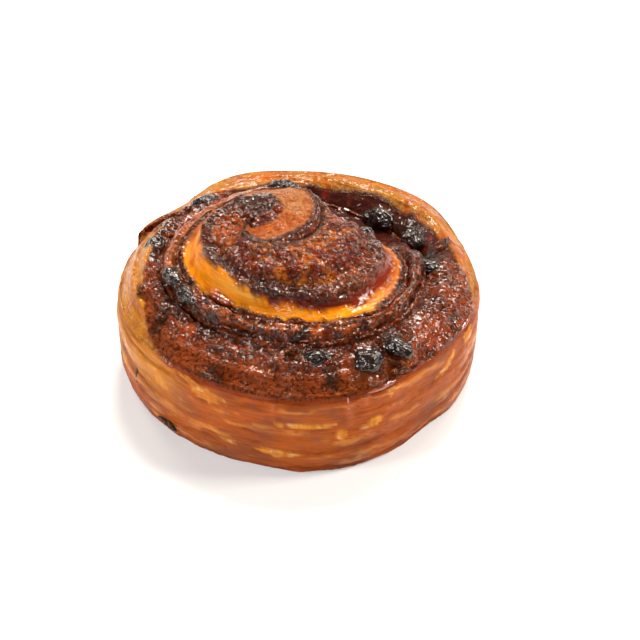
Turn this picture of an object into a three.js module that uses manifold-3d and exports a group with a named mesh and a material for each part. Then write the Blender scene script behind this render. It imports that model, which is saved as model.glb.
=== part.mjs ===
// A glazed Danish swirl: one strip of laminated dough rolled into a spiral round a layer of
// filling, baked in a ring until its middle rose into a mound, with raisins along the seam.
// Millimetres, +Z up. The origin is the middle of the flat base, and -Y is the front.
import * as THREE from "three";
import { mergeVertices } from "three/addons/utils/BufferGeometryUtils.js";
import Module from "manifold-3d";

const wasm = await Module();
wasm.setup();

// The ring-baked outline
const WALL_RADII = [
  50.4, 50.4, 52.6, 51.2, 50.3, 52.6, 49.2, 49.8, 50.9, 49.9, 48.5, 48.3, 49.3, 49.3, 47.8, 49.2,
]; // the widest part of the side wall, by sixteenths of a turn from +X
const RIM_HEIGHT = [28, 29.4, 30.8, 28.9, 27.2, 28, 27.6, 27.8]; // by eighths, from +X
const RIM_INSET = 1.1; // how far inside the widest part the rim lies
const BASE_TAPER = 4.2; // how much narrower the base is than the wall

// The roll
const EYE = { x: -10, y: 3 }; // where it starts, left of the middle
const FILLING_THICKNESS = 1.2;
const FILLING_LIFT = 0.6; // the layer of filling starts this far above the base
const CLEARANCE = 0.3; // between dough and filling
const RAISIN_CLEARANCE = 0.35; // round each raisin
const GROOVE_DEPTH = 1.2; // how far the top dips at the seam
const SHALLOW_GROOVE = GROOVE_DEPTH / 2; // beside the slot, and where there is no slot
const GROOVE_WIDTH = 1.4;
const EDGE_FALL = 0.3; // how much lower the seam's outer side lies
const CRAGS = { height: 0.45, cell: 2.6, fineCell: 1.6, fineShare: 0.6 }; // of the crust
const FLAP = { rise: 3.8, length: 0.5 }; // the strip's raised end, its length in radians

// The seam between the turns, followed outwards and anticlockwise from the eye. Each list has
// one value for each eighth of a turn, from FIRST_EIGHTH on.
const FIRST_EIGHTH = -4;
const SEAM_RADIUS = [
  0, 7.5, 12.4, 12.8, 15.3, 16.7, 16, 22, 33.4, 30.4, 28.2, 31.4, 29.4, 24, 27, 34, 38, 35.5, 35, 35.8,
  34.6, 36, 39, 42, 57,
];
const SEAM_HEIGHT = [
  50, 50, 50, 50, 50.2, 50, 49.6, 47.4, 40, 38.6, 38, 37.9, 36.6, 32.5, 36, 36.5, 36, 35.9, 36, 35.5,
  33.6, 28, 29, 29, 28,
];
// The height of the strip's shelf, and of the browned crest outside it.
const SHELF_HEIGHT = [
  50, 50, 50, 50.5, 50.9, 51.5, 51.6, 51, 49.4, 47.8, 47, 46.8, 46.4, 40.5, 45, 43.4, 39.6, 39.6,
  38.8, 38.4, 37.2, 29, 30, 36, 35.4, 34, 33.6, 33.7, 33, 29.6, 30, 30.6, 30,
];
const CREST_HEIGHT = [
  50, 50, 50.5, 50.9, 51.4, 52.2, 52.2, 50.6, 48, 45.4, 43.4, 42.6, 41.6, 35.5, 41, 40.4, 39, 38.8,
  38, 37.6, 36.4, 28, 29, 33, 32.6, 31.8, 31.4, 31.5, 31.6, 31.3, 31.2, 30.4, 30,
];

// The strip's profile, in shares of its thickness: the shelf, the edge under the crest, the
// crest, and the foot where it falls to the next seam. The heights are shares of each rise.
const SHELF_AT = 0.4;
const SHELF_GAP = 0.16; // the shelf ends at least this far inside the crest
const EDGE = { gap: 0.14, height: 0.8 };
const FOOT = { at: 0.92, height: 0.85 };

// What changes along the roll comes and goes between two places, in turns from +X.
const CREST_AT = { first: 0.34, last: 0.7, moves: [0.125, 0.5] };
const TROUGH = { depth: 0.9, grows: [0.375, 0.625], fades: [1.375, 1.125] };
const STAIRS = { strength: 0.7, fades: [1.875, 1.5] }; // rounds the shelves into steps
const COIL = { radius: 13, closes: [0.475, 0.675], ends: [0.88, 0.78] }; // the innermost coil
const HOLLOW = { x: -16.5, y: -1, depth: 2, reach: [5.5, 4.2] }; // the dip inside that coil
const EYE_SLIDE = 0.5; // the seam's centre slides from the eye to the middle in this many turns

// Meshing
const STEPS = 80; // round one turn
const ACROSS = 9; // across the strip
const TAIL_STEP = 235; // where the seam runs out through the wall
const LAST_STEP = TAIL_STEP + STEPS;
const SLOT_FIRST = 22; // the filling's layer, in steps along the seam
const SLOT_LAST = 228;
const GROOVE_GROWS = [SLOT_FIRST, SLOT_FIRST + 14];

// How far the innermost coil stands above the seam's other side
const COIL_STEP = { height: 1.1, fades: [SLOT_FIRST + 45, SLOT_FIRST + 20] };

const TURN = 2 * Math.PI;
const angleAt = (step) => (step / STEPS) * TURN + (FIRST_EIGHTH / 8) * TURN;
const mix = (a, b, t) => a + (b - a) * t;
const clamp01 = (t) => Math.min(1, Math.max(0, t));
const smooth = (t) => clamp01(t) ** 2 * (3 - 2 * clamp01(t));

// From 0 to 1 between two places, which may also be given from high to low.
const between = (value, [from, to]) => smooth((value - from) / (to - from));

// A smooth curve through a list of values, at a place counted in list steps.
function through(values, at) {
  const place = Math.min(Math.max(at, 0), values.length - 1);
  const i = Math.min(Math.floor(place), values.length - 2);
  const t = place - i;
  const [p, q, r, s] = [-1, 0, 1, 2].map(
    (k) => values[Math.min(Math.max(i + k, 0), values.length - 1)],
  );
  return (
    q + 0.5 * t * (r - p + t * (2 * p - 5 * q + 4 * r - s + t * (3 * (q - r) + s - p)))
  );
}

const eighthsFromStart = (phi) => (phi / TURN) * 8 - FIRST_EIGHTH;

// The same for a closed list that goes once round.
function around(values, angle) {
  const n = values.length;
  const at = (((angle / TURN) % 1) + 1) * n;
  const i = Math.floor(at);
  const four = [-1, 0, 1, 2].map((k) => values[(i + k + n) % n]);
  return through(four, 1 + at - i);
}

// A value between -1 and 1 that wanders over about one cell of the given size.
function wander(x, y, size) {
  const u = x / size;
  const v = y / size;
  const hash = (a, b) => {
    const h = Math.sin(a * 127.1 + b * 311.7) * 43758.5453;
    return 2 * (h - Math.floor(h)) - 1;
  };
  const [a, b] = [Math.floor(u), Math.floor(v)];
  const [s, t] = [smooth(u - a), smooth(v - b)];
  return mix(
    mix(hash(a, b), hash(a + 1, b), s),
    mix(hash(a, b + 1), hash(a + 1, b + 1), s),
    t,
  );
}

// The plan of the side wall: nearly round, as uneven as the dough that filled the ring.
const wallRadius = (angle) => around(WALL_RADII, angle);

const TAIL_ANGLE = angleAt(TAIL_STEP) - 2 * TURN;

// The last stretch of the strip stands up as a flap and ends in a corner at the tail.
function flapRise(angle) {
  const before = ((TAIL_ANGLE - angle) % TURN + TURN) % TURN;
  return FLAP.rise * between(before, [FLAP.length, 0]);
}

const rimHeight = (angle) => around(RIM_HEIGHT, angle) + flapRise(angle);

// A point of the seam. It turns about the eye at first, and about the middle further out.
function seamAt(step) {
  const phi = angleAt(step);
  const wall = wallRadius(phi);
  const slide = 1 - smooth(phi / (TURN * EYE_SLIDE));
  const wanted = through(SEAM_RADIUS, eighthsFromStart(phi));
  const radius = step >= TAIL_STEP ? wall : Math.min(wanted, wall);
  return {
    x: EYE.x * slide + radius * Math.cos(phi),
    y: EYE.y * slide + radius * Math.sin(phi),
    z:
      step >= TAIL_STEP
        ? rimHeight(phi)
        : through(SEAM_HEIGHT, eighthsFromStart(phi)),
  };
}

const eyePoint = { x: EYE.x, y: EYE.y, z: SEAM_HEIGHT[0] };
const innerSeam = (step) => (step < STEPS ? eyePoint : seamAt(step - STEPS));

// The top of the strip at a share of its thickness, between its two seams.
function topPoint(step, share, inner, outer) {
  const x = mix(inner.x, outer.x, share);
  const y = mix(inner.y, outer.y, share);
  const turns = angleAt(step) / TURN;
  const eighth = eighthsFromStart(angleAt(step));
  const thickness = Math.hypot(outer.x - inner.x, outer.y - inner.y);

  // Where the innermost coil closes, its rim takes the place of the inner seam.
  const toEye = Math.hypot(inner.x - EYE.x, inner.y - EYE.y);
  const closed = between(turns, COIL.closes) * between(turns, COIL.ends);
  const rim = Math.max(0, COIL.radius * closed - toEye);
  const place = Math.max(0, (share * thickness - rim) / (thickness - rim));

  const [shelf, crest] = [through(SHELF_HEIGHT, eighth), through(CREST_HEIGHT, eighth)];
  const crestAt = mix(CREST_AT.first, CREST_AT.last, between(turns, CREST_AT.moves));
  const trough = TROUGH.depth * between(turns, TROUGH.grows) * between(turns, TROUGH.fades);
  const knots = [
    [0, inner.z],
    [Math.min(SHELF_AT, crestAt - SHELF_GAP), shelf],
    [crestAt - EDGE.gap, mix(shelf, crest, EDGE.height) - trough],
    [crestAt, crest],
    [FOOT.at, mix(crest, outer.z, FOOT.height)],
    [1.001, outer.z],
  ];
  const k = knots.findIndex((knot) => knot[0] > place) - 1;
  const [from, to] = [knots[k], knots[k + 1]];
  const t = (place - from[0]) / (to[0] - from[0]);
  const rounding = STAIRS.strength * between(turns, STAIRS.fades);
  const height = mix(from[1], to[1], mix(t, smooth(t), rounding));

  const [across, deep] = [(x - HOLLOW.x) / HOLLOW.reach[0], (y - HOLLOW.y) / HOLLOW.reach[1]];
  const hollow = HOLLOW.depth * Math.exp(-(across ** 2) - deep ** 2);
  const dip = (distance, along) =>
    Math.exp(-((distance / GROOVE_WIDTH) ** 2)) * between(along, GROOVE_GROWS);
  const grooves =
    dip(share * thickness, step - STEPS) +
    (step < TAIL_STEP ? dip((1 - share) * thickness, step) : 0);
  const browned = mix(0.3, 1, between(share, [0.3, 0.55]));
  const fine = CRAGS.fineShare * wander(x + 40, y, CRAGS.fineCell);
  const crags = CRAGS.height * browned * (wander(x, y, CRAGS.cell) + fine);
  const flap = step > TAIL_STEP ? flapRise(angleAt(step)) * share * (1 - share) * 2 : 0;
  return { x, y, z: height - hollow - grooves * SHALLOW_GROOVE + crags + flap };
}

// How far in from the wall, and how high, each ring of the side lies.
const WALL_PROFILE = [
  { inset: 0.25, height: 0.93 },
  { inset: 0.0, height: 0.8 },
  { inset: 0.05, height: 0.6 },
  { inset: 0.3, height: 0.4 },
  { inset: 0.8, height: 0.22 },
  { inset: 1.5, height: 0.09 },
  { inset: 2.1, height: 0.025 },
];

class Surface {
  constructor() {
    this.points = [];
    this.corners = [];
  }
  point({ x, y, z }) {
    this.points.push(x, y, z);
    return this.points.length / 3 - 1;
  }
  // A face, or none where two of its corners are the same point.
  face(a, b, c) {
    if (a !== b && b !== c && c !== a) this.corners.push(a, b, c);
  }
  // Seen from outside, a to b runs along one side and d to c along the other.
  quad(a, b, c, d) {
    this.face(a, b, c);
    this.face(a, c, d);
  }
  geometry() {
    return new THREE.BufferGeometry()
      .setAttribute("position", new THREE.Float32BufferAttribute(this.points, 3))
      .setIndex(this.corners);
  }
}

// The two edges of the slot that the filling lies in, or one shared point where there is none.
function slotEdges(step, halfWidth) {
  const here = seamAt(step);
  const [back, on] = [seamAt(step - 1), seamAt(step + 1)];
  const length = Math.hypot(on.x - back.x, on.y - back.y) || 1;
  const out = { x: (on.y - back.y) / length, y: -(on.x - back.x) / length };
  const deepening = between(step, GROOVE_GROWS);
  const fall = COIL_STEP.height * between(step, COIL_STEP.fades) + EDGE_FALL;
  const beside = (side) => ({
    x: here.x + side * halfWidth * out.x,
    y: here.y + side * halfWidth * out.y,
    z: here.z - deepening * (GROOVE_DEPTH + side * fall),
  });
  return [beside(-1), beside(1)];
}

const inSlot = (step) => step > SLOT_FIRST && step < SLOT_LAST;

const BASE_MARGIN = 0.6; // the seam's foot keeps this far inside the edge of the base

function doughGeometry() {
  const surface = new Surface();
  const slotHalf = FILLING_THICKNESS / 2 + CLEARANCE;
  const flatten = (p) => ({ ...p, z: 0 });
  const insideBase = (p) => {
    const limit = wallRadius(Math.atan2(p.y, p.x)) - BASE_TAPER - BASE_MARGIN;
    const radius = Math.hypot(p.x, p.y);
    const share = Math.min(1, limit / radius);
    return { x: p.x * share, y: p.y * share, z: 0 };
  };
  const eye = { top: surface.point(eyePoint), base: surface.point(flatten(eyePoint)) };

  // Seam points, top and base: the side towards the eye, and the side away from it.
  const seam = [];
  for (let step = 0; step < TAIL_STEP; step++) {
    if (step === 0) {
      seam.push({ topIn: eye.top, topOut: eye.top, baseIn: eye.base, baseOut: eye.base });
    } else if (inSlot(step)) {
      const [towards, away] = slotEdges(step, slotHalf);
      seam.push({
        topIn: surface.point(towards),
        topOut: surface.point(away),
        baseIn: surface.point(flatten(towards)),
        baseOut: surface.point(flatten(away)),
      });
    } else {
      const here = seamAt(step);
      const top = surface.point({ ...here, z: here.z - SHALLOW_GROOVE });
      const base = surface.point(insideBase(here));
      seam.push({ topIn: top, topOut: top, baseIn: base, baseOut: base });
    }
  }
  const rim = [];
  for (let step = TAIL_STEP; step < LAST_STEP; step++) {
    const angle = angleAt(step);
    const at = (inset, z) => {
      const radius = wallRadius(angle) - inset;
      return surface.point({ x: radius * Math.cos(angle), y: radius * Math.sin(angle), z });
    };
    const height = rimHeight(angle);
    const rings = [at(RIM_INSET, height)];
    for (const ring of WALL_PROFILE) rings.push(at(ring.inset, ring.height * height));
    rings.push(at(BASE_TAPER, 0));
    rim.push(rings);
    const [top, base] = [rings[0], rings[rings.length - 1]];
    seam.push({ topIn: top, topOut: top, baseIn: base, baseOut: base });
  }
  seam.push(seam[TAIL_STEP]);

  // The top of each column, from the inner seam to the outer one.
  const spot = (index) => ({
    x: surface.points[3 * index],
    y: surface.points[3 * index + 1],
    z: surface.points[3 * index + 2],
  });
  const columns = seam.map((outerSeam, step) => {
    const innerIndex = step < STEPS ? eye.top : seam[step - STEPS].topOut;
    const outerIndex = outerSeam.topIn;
    const column = [innerIndex];
    for (let k = 1; k < ACROSS; k++) {
      const same = innerIndex === outerIndex;
      column.push(
        same
          ? innerIndex
          : surface.point(topPoint(step, k / ACROSS, spot(innerIndex), spot(outerIndex))),
      );
    }
    column.push(outerIndex);
    return column;
  });
  for (let step = 1; step <= LAST_STEP; step++) {
    const [before, here] = [columns[step - 1], columns[step]];
    for (let k = 0; k < ACROSS; k++) {
      surface.quad(before[k], before[k + 1], here[k + 1], here[k]);
    }
    const inner = (s) => (s < STEPS ? eye.base : seam[s - STEPS].baseOut);
    surface.quad(inner(step - 1), inner(step), seam[step].baseIn, seam[step - 1].baseIn);
  }
  // The walls of the slot.
  for (let step = SLOT_FIRST + 1; step <= SLOT_LAST; step++) {
    const [a, b] = [seam[step - 1], seam[step]];
    surface.quad(a.topIn, a.baseIn, b.baseIn, b.topIn);
    surface.quad(a.topOut, b.topOut, b.baseOut, a.baseOut);
  }
  // The side wall.
  rim.forEach((rings, i) => {
    const next = rim[(i + 1) % rim.length];
    for (let k = 0; k + 1 < rings.length; k++) {
      surface.quad(rings[k], rings[k + 1], next[k + 1], next[k]);
    }
  });
  return surface.geometry();
}

// The filling: a thin upright layer along the seam, from just above the base to just over the
// groove, where it oozes out unevenly.
const OOZE = { height: 0.3, unevenness: 0.2, cell: 4, innerShare: 0.5 };

function fillingGeometry() {
  const surface = new Surface();
  const sections = [];
  for (let step = SLOT_FIRST + 1; step < SLOT_LAST; step++) {
    const [towards, away] = slotEdges(step, FILLING_THICKNESS / 2);
    const middle = { x: (towards.x + away.x) / 2, y: (towards.y + away.y) / 2 };
    const ooze = OOZE.height + OOZE.unevenness * wander(middle.x, middle.y, OOZE.cell);
    sections.push(
      [
        { ...towards, z: FILLING_LIFT },
        { ...towards, z: towards.z + ooze * OOZE.innerShare },
        { ...away, z: away.z + ooze },
        { ...away, z: FILLING_LIFT },
      ].map((p) => surface.point(p)),
    );
  }
  const sides = sections[0].length;
  for (let i = 0; i + 1 < sections.length; i++) {
    for (let k = 0; k < sides; k++) {
      const next = (k + 1) % sides;
      surface.quad(sections[i][k], sections[i][next], sections[i + 1][next], sections[i + 1][k]);
    }
  }
  const cap = (ring) => {
    for (let k = 1; k + 1 < sides; k++) surface.face(ring[0], ring[k + 1], ring[k]);
  };
  cap(sections[0]);
  cap([...sections[sections.length - 1]].reverse());
  return surface.geometry();
}

// Raisins: x, y and z of the middle, length, width and height, the turn about the upright, and
// how far the end nearest +X dips.
const RAISINS = [
  { name: "raisin_left_end", at: [-39.6, 10.6, 32.6], size: [9.6, 6.6, 7], turn: 1.2, tilt: 0.5 },
  { name: "raisin_left_upper", at: [-34.6, -10, 38.4], size: [7.6, 5, 4.6], turn: 2, tilt: 0.1 },
  { name: "raisin_left_lower", at: [-30.2, -18.4, 38.6], size: [7.8, 5, 4.6], turn: 2.1, tilt: 0.1 },
  { name: "raisin_front_sunk", at: [4.6, -38.6, 33.6], size: [9, 5.4, 4.6], turn: 0.2, tilt: 0 },
  { name: "raisin_front_round", at: [18.4, -38.9, 33.3], size: [8.6, 7.8, 6], turn: 0.6, tilt: -0.2 },
  { name: "raisin_front_long", at: [26.2, -34, 33.6], size: [9.6, 5.6, 5.4], turn: -0.7, tilt: -0.1 },
  { name: "raisin_right", at: [35.6, 1.4, 32.8], size: [8.4, 5.2, 5], turn: -0.4, tilt: 0 },
  { name: "raisin_right_upper", at: [32.4, 17, 30.6], size: [9.4, 7.4, 6], turn: 1.4, tilt: 0.2 },
  { name: "raisin_hollow", at: [22.8, 28.4, 29], size: [12, 7.4, 6.6], turn: -0.9, tilt: -0.3 },
  { name: "raisin_mound", at: [18.2, 8.8, 38.4], size: [7.4, 5, 4.4], turn: 1.1, tilt: 0.3 },
  { name: "raisin_back", at: [-4.8, 40.6, 30.6], size: [11, 6, 5.2], turn: 0.1, tilt: 0 },
  { name: "raisin_back_left", at: [-26.8, 31.2, 32.4], size: [9, 5.4, 5], turn: 0.8, tilt: 0 },
];

// A wrinkled raisin about its own middle, grown by a margin on every side.
const WRINKLE = { folds: 0.1, waist: 0.06 };

function raisinGeometry(size, seed, margin) {
  const ball = new THREE.SphereGeometry(0.5, 12, 7);
  const place = ball.getAttribute("position");
  const p = new THREE.Vector3();
  for (let i = 0; i < place.count; i++) {
    p.fromBufferAttribute(place, i);
    const along = p.x * 9 + seed;
    const folds = WRINKLE.folds * Math.sin(7 * p.y + along) * Math.cos(6 * p.z - seed);
    const wrinkle = 1 + folds - WRINKLE.waist * Math.cos(along);
    place.setXYZ(
      i,
      p.x * wrinkle * (size[0] + 2 * margin),
      p.y * wrinkle * (size[1] + 2 * margin),
      p.z * wrinkle * (size[2] + 2 * margin),
    );
  }
  return ball;
}

// Closed geometry as a solid that can be cut, and a solid back as geometry.
function solidFrom(geometry, matrix = new THREE.Matrix4()) {
  const bare = geometry.clone().deleteAttribute("normal").deleteAttribute("uv");
  const merged = mergeVertices(bare.applyMatrix4(matrix), 1e-4);
  const triVerts = new Uint32Array(merged.index.array);
  const vertProperties = merged.getAttribute("position").array;
  return new wasm.Manifold(new wasm.Mesh({ numProp: 3, vertProperties, triVerts }));
}

function geometryFrom(solid) {
  const [largest] = solid.decompose().sort((a, b) => b.volume() - a.volume());
  const { vertProperties, triVerts } = largest.getMesh();
  const geometry = new THREE.BufferGeometry()
    .setAttribute("position", new THREE.BufferAttribute(vertProperties, 3))
    .setIndex(new THREE.BufferAttribute(triVerts, 1));
  geometry.computeVertexNormals();
  return geometry;
}

const material = (color, roughness) =>
  new THREE.MeshStandardMaterial({ color, roughness, metalness: 0 });
const materials = {
  dough: material(0xa8591c, 0.35),
  filling: material(0x3d1409, 0.3),
  raisin: material(0x1c0f0b, 0.3),
};

const pastry = new THREE.Group();

const raisins = RAISINS.map(({ name, at, size, turn, tilt }, i) => {
  const mesh = new THREE.Mesh(raisinGeometry(size, i, 0), materials.raisin);
  mesh.name = name;
  mesh.position.set(...at);
  mesh.rotation.set(0, tilt, turn, "ZYX");
  mesh.updateMatrix();
  pastry.add(mesh);
  return solidFrom(raisinGeometry(size, i, RAISIN_CLEARANCE), mesh.matrix);
});

// The dough and the filling are pressed round each raisin.
function pressed(name, geometry, surfaceMaterial) {
  const solid = raisins.reduce((rest, raisin) => rest.subtract(raisin), solidFrom(geometry));
  const mesh = new THREE.Mesh(geometryFrom(solid), surfaceMaterial);
  mesh.name = name;
  pastry.add(mesh);
}

pressed("dough", doughGeometry(), materials.dough);
pressed("filling", fillingGeometry(), materials.filling);

export default pastry;
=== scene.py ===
"""A glazed Danish swirl: its crust, lamination, filling and raisins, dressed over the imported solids."""

import math

import bpy
import numpy as np
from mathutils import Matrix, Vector


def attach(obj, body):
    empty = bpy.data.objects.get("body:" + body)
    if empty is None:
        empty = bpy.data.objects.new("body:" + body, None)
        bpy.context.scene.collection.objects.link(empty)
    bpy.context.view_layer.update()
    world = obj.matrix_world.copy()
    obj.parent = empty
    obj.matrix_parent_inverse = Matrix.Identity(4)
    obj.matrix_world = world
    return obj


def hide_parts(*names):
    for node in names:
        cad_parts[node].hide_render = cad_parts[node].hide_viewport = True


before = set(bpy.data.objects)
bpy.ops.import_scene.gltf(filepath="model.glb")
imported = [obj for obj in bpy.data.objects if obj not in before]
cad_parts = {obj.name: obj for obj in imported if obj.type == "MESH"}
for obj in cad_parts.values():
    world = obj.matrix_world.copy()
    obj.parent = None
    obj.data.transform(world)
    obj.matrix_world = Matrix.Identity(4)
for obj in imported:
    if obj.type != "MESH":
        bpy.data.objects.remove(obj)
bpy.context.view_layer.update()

MM = 0.001
TURN = 2 * math.pi

# The pastry's own sizes, in millimetres, as in the part's source
WALL_RADII = [
    50.4, 50.4, 52.6, 51.2, 50.3, 52.6, 49.2, 49.8, 50.9, 49.9, 48.5, 48.3, 49.3, 49.3, 47.8, 49.2,
]  # the widest part of the side wall, by sixteenths of a turn from +X
RIM_HEIGHT = [28, 29.4, 30.8, 28.9, 27.2, 28, 27.6, 27.8]  # by eighths, from +X
RIM_INSET = 1.1
BASE_TAPER = 4.2
ROUND_AT = 50  # the radius at which distances round the wall are counted
WALL_PROFILE = [(0.25, 0.93), (0, 0.8), (0.05, 0.6), (0.3, 0.4), (0.8, 0.22), (1.5, 0.09), (2.1, 0.025)]
EYE = (-10, 3)  # where the roll starts
EYE_HEIGHT = 50
FILLING_LIFT = 0.6
FLAP = {"rise": 3.8, "length": 0.5}  # the strip's raised end, its length in radians
COIL_RADIUS = 13
HOLLOW = {"x": -16.5, "y": -1, "depth": 2}  # the dip inside the innermost coil
FILLING_THICKNESS = 1.2
SLOT_GAP = 0.03  # between the filling and the walls of its slot
GROOVE_DEPTH = 1.2
GROOVE_WIDTH = 1.4
TROUGH_DEPTH = 0.9
COIL_STEP = 1.1
SHELF_AT = 0.4
FOOT_AT = 0.92

# The seam between the turns, by eighths of a turn from FIRST_EIGHTH, out from the eye
FIRST_EIGHTH = -4
SEAM_RADIUS = [
    0, 7.5, 12.4, 12.8, 15.3, 16.7, 16, 22, 33.4, 30.4, 28.2, 31.4, 29.4, 24, 27, 34, 38, 35.5,
    35, 35.8, 34.6, 36, 39, 42, 57,
]
SEAM_HEIGHT = [
    50, 50, 50, 50, 50.2, 50, 49.6, 47.4, 40, 38.6, 38, 37.9, 36.6, 32.5, 36, 36.5, 36, 35.9, 36,
    35.5, 33.6, 28, 29, 29, 28,
]
SHELF_HEIGHT = [
    50, 50, 50, 50.5, 50.9, 51.5, 51.6, 51, 49.4, 47.8, 47, 46.8, 46.4, 40.5, 45, 43.4, 39.6,
    39.6, 38.8, 38.4, 37.2, 29, 30, 36, 35.4, 34, 33.6, 33.7, 33, 29.6, 30, 30.6, 30,
]
CREST_HEIGHT = [
    50, 50, 50.5, 50.9, 51.4, 52.2, 52.2, 50.6, 48, 45.4, 43.4, 42.6, 41.6, 35.5, 41, 40.4, 39,
    38.8, 38, 37.6, 36.4, 28, 29, 33, 32.6, 31.8, 31.4, 31.5, 31.6, 31.3, 31.2, 30.4, 30,
]

# The same steps along the seam as in the source, each cut finer here
STEPS = 80
TAIL_STEP = 235
LAST_STEP = TAIL_STEP + STEPS
SLOT_FIRST = 22
SLOT_LAST = 228
FINE = 7
ACROSS = 25
WALL_ROWS = 56

# Name, x, y and z of the middle, length, width and height, turn about the upright, tilt
RAISINS = [
    ("raisin_left_end", (-39.6, 10.6, 32.6), (9.6, 6.6, 7), 1.2, 0.5),
    ("raisin_left_upper", (-34.6, -10, 38.4), (7.6, 5, 4.6), 2, 0.1),
    ("raisin_left_lower", (-30.2, -18.4, 38.6), (7.8, 5, 4.6), 2.1, 0.1),
    ("raisin_front_sunk", (4.6, -38.6, 33.6), (9, 5.4, 4.6), 0.2, 0),
    ("raisin_front_round", (18.4, -38.9, 33.3), (8.6, 7.8, 6), 0.6, -0.2),
    ("raisin_front_long", (26.2, -34, 33.6), (9.6, 5.6, 5.4), -0.7, -0.1),
    ("raisin_right", (35.6, 1.4, 32.8), (8.4, 5.2, 5), -0.4, 0),
    ("raisin_right_upper", (32.4, 17, 30.6), (9.4, 7.4, 6), 1.4, 0.2),
    ("raisin_hollow", (22.8, 28.4, 29), (12, 7.4, 6.6), -0.9, -0.3),
    ("raisin_mound", (18.2, 8.8, 38.4), (7.4, 5, 4.4), 1.1, 0.3),
    ("raisin_back", (-4.8, 40.6, 30.6), (11, 6, 5.2), 0.1, 0),
    ("raisin_back_left", (-26.8, 31.2, 32.4), (9, 5.4, 5), 0.8, 0),
]


def mix(a, b, t):
    return a + (b - a) * t


def smooth(t):
    t = np.clip(t, 0, 1)
    return t * t * (3 - 2 * t)


def between(value, start, end):
    """From 0 to 1 between two places, which may also be given from high to low."""
    return smooth((value - start) / (end - start))


def curve_through(p, q, r, s, t):
    return q + 0.5 * t * (r - p + t * (2 * p - 5 * q + 4 * r - s + t * (3 * (q - r) + s - p)))


def through(values, at):
    """A smooth curve through a list of values, at places counted in list steps."""
    v = np.asarray(values, float)
    place = np.clip(at, 0, len(v) - 1)
    i = np.minimum(np.floor(place).astype(int), len(v) - 2)
    four = [v[np.clip(i + k, 0, len(v) - 1)] for k in (-1, 0, 1, 2)]
    return curve_through(*four, place - i)


def around(values, angle):
    """The same for a closed list that goes once round."""
    v = np.asarray(values, float)
    at = (np.asarray(angle) / TURN % 1) * len(v)
    i = np.floor(at).astype(int)
    four = [v[(i + k) % len(v)] for k in (-1, 0, 1, 2)]
    return curve_through(*four, at - i)


def noise(x, y, size, seed=0):
    """Values between -1 and 1 that wander over about one cell of the given size."""
    u, v = np.asarray(x) / size + 17.3 * seed, np.asarray(y) / size + 9.1 * seed
    a, b = np.floor(u), np.floor(v)
    s, t = smooth(u - a), smooth(v - b)

    def corner(i, j):
        h = np.sin((a + i) * 127.1 + (b + j) * 311.7 + seed * 74.7) * 43758.5453
        return 2 * (h - np.floor(h)) - 1

    return mix(mix(corner(0, 0), corner(1, 0), s), mix(corner(0, 1), corner(1, 1), s), t)


def layered(x, y, size, seed=0, layers=3):
    """Noise with finer noise on it."""
    total = 0
    for i in range(layers):
        total = total + noise(x, y, size / 2**i, seed + i) / 1.7**i
    return total / 1.6


def angle_at(step):
    return np.asarray(step) / STEPS * TURN + FIRST_EIGHTH / 8 * TURN


def eighth_at(step):
    return np.asarray(step) / STEPS * 8


def wall_radius(angle):
    return around(WALL_RADII, angle)


TAIL_ANGLE = float(angle_at(TAIL_STEP)) % TURN


def flap_rise(angle):
    before = (TAIL_ANGLE - np.asarray(angle)) % TURN
    return FLAP["rise"] * smooth(1 - before / FLAP["length"])


def rim_height(angle):
    return around(RIM_HEIGHT, angle) + flap_rise(angle)


def seam_at(step):
    phi = angle_at(step)
    edge = wall_radius(phi) - RIM_INSET
    slide = 1 - smooth(phi / (TURN * 0.5))
    wanted = through(SEAM_RADIUS, eighth_at(step))
    at_rim = step >= TAIL_STEP
    radius = np.where(at_rim, edge, np.minimum(wanted, edge))
    height = np.where(at_rim, rim_height(phi), through(SEAM_HEIGHT, eighth_at(step)))
    return np.stack(
        [EYE[0] * slide + radius * np.cos(phi), EYE[1] * slide + radius * np.sin(phi), height], -1
    )


def slot_edge(step, side, half_width):
    """The edge of the filling's slot towards the eye, side -1, or away from it, side 1."""
    here = seam_at(step)
    ahead = seam_at(step + 1) - seam_at(step - 1)
    length = np.maximum(np.hypot(ahead[..., 0], ahead[..., 1]), 1e-9)
    deepening = smooth((step - SLOT_FIRST) / 14)
    fall = COIL_STEP * smooth((SLOT_FIRST + 45 - step) / 25) + 0.3
    here[..., 0] += side * half_width * ahead[..., 1] / length
    here[..., 1] -= side * half_width * ahead[..., 0] / length
    here[..., 2] -= deepening * (GROOVE_DEPTH + side * fall)
    return here


def in_slot(step):
    return (step > SLOT_FIRST) & (step < SLOT_LAST)


def crest_share(turns):
    return mix(0.34, 0.7, smooth((turns - 0.125) / 0.375))


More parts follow.
